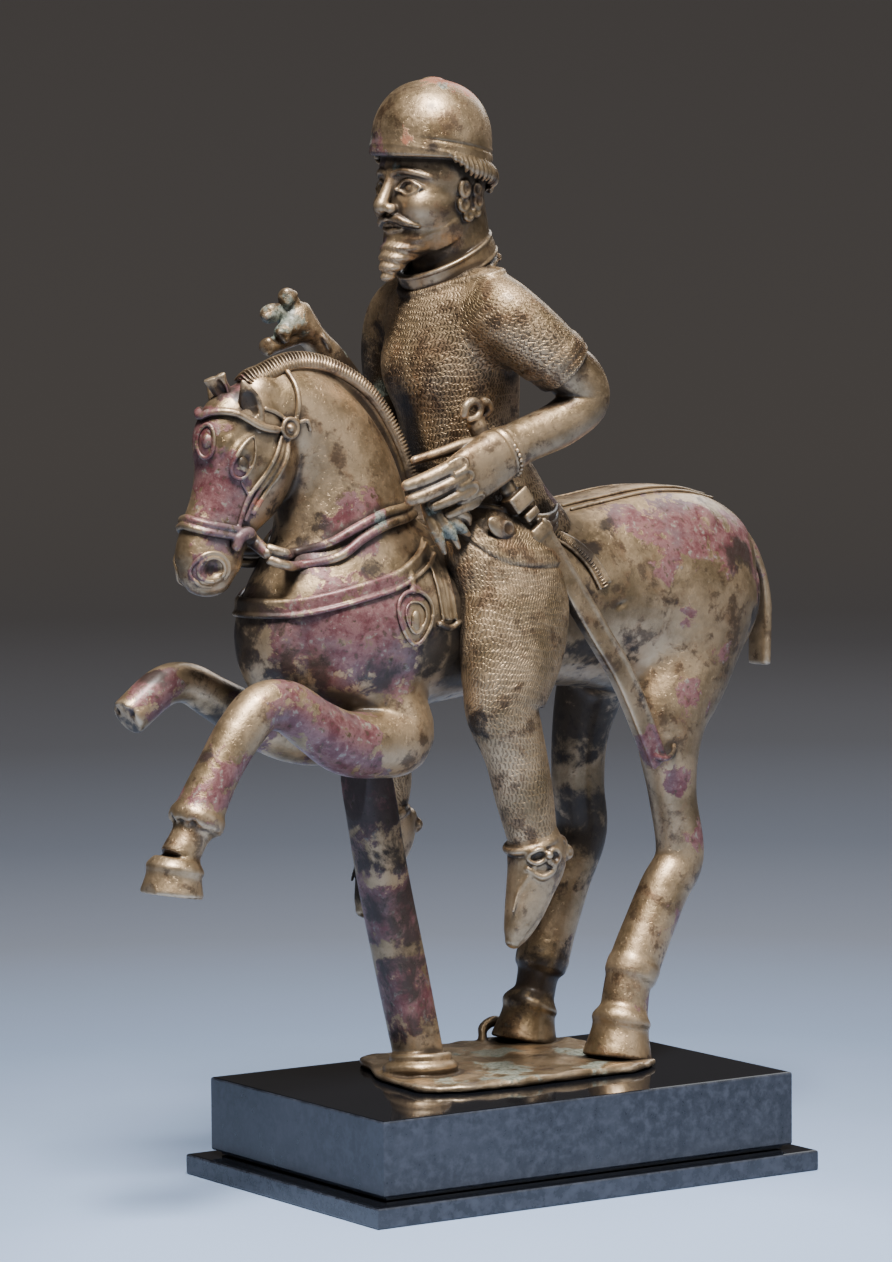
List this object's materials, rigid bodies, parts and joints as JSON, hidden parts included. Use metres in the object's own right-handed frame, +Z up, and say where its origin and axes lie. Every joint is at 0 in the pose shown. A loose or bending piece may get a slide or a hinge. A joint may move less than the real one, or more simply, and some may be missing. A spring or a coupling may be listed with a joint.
{
  "type": "equestrian statuette",
  "caption": "Cast bronze statuette of a rider in a helmet and mail coat on a prancing horse, held up by a strut over a thin ground plate, on a stepped black stone plinth.",
  "frame": {"origin": "middle of the plinth's underside", "axes": "+Z up; the horse faces -X, turned a few degrees towards -Y; the rider's left side looks to -Y"},
  "size_m": [0.2894, 0.1222, 0.3709],
  "materials": {
    "patinated_bronze": "worn golden-brown bronze with plum, dark brown and green patina, satin to polished",
    "black_stone": "honed black stone, polished on top"
  },
  "bodies": {
    "root": {"horse_and_rider": "patinated_bronze", "plinth_block": "black_stone", "plinth_foot_slab": "black_stone"}
  },
  "joints": []
}
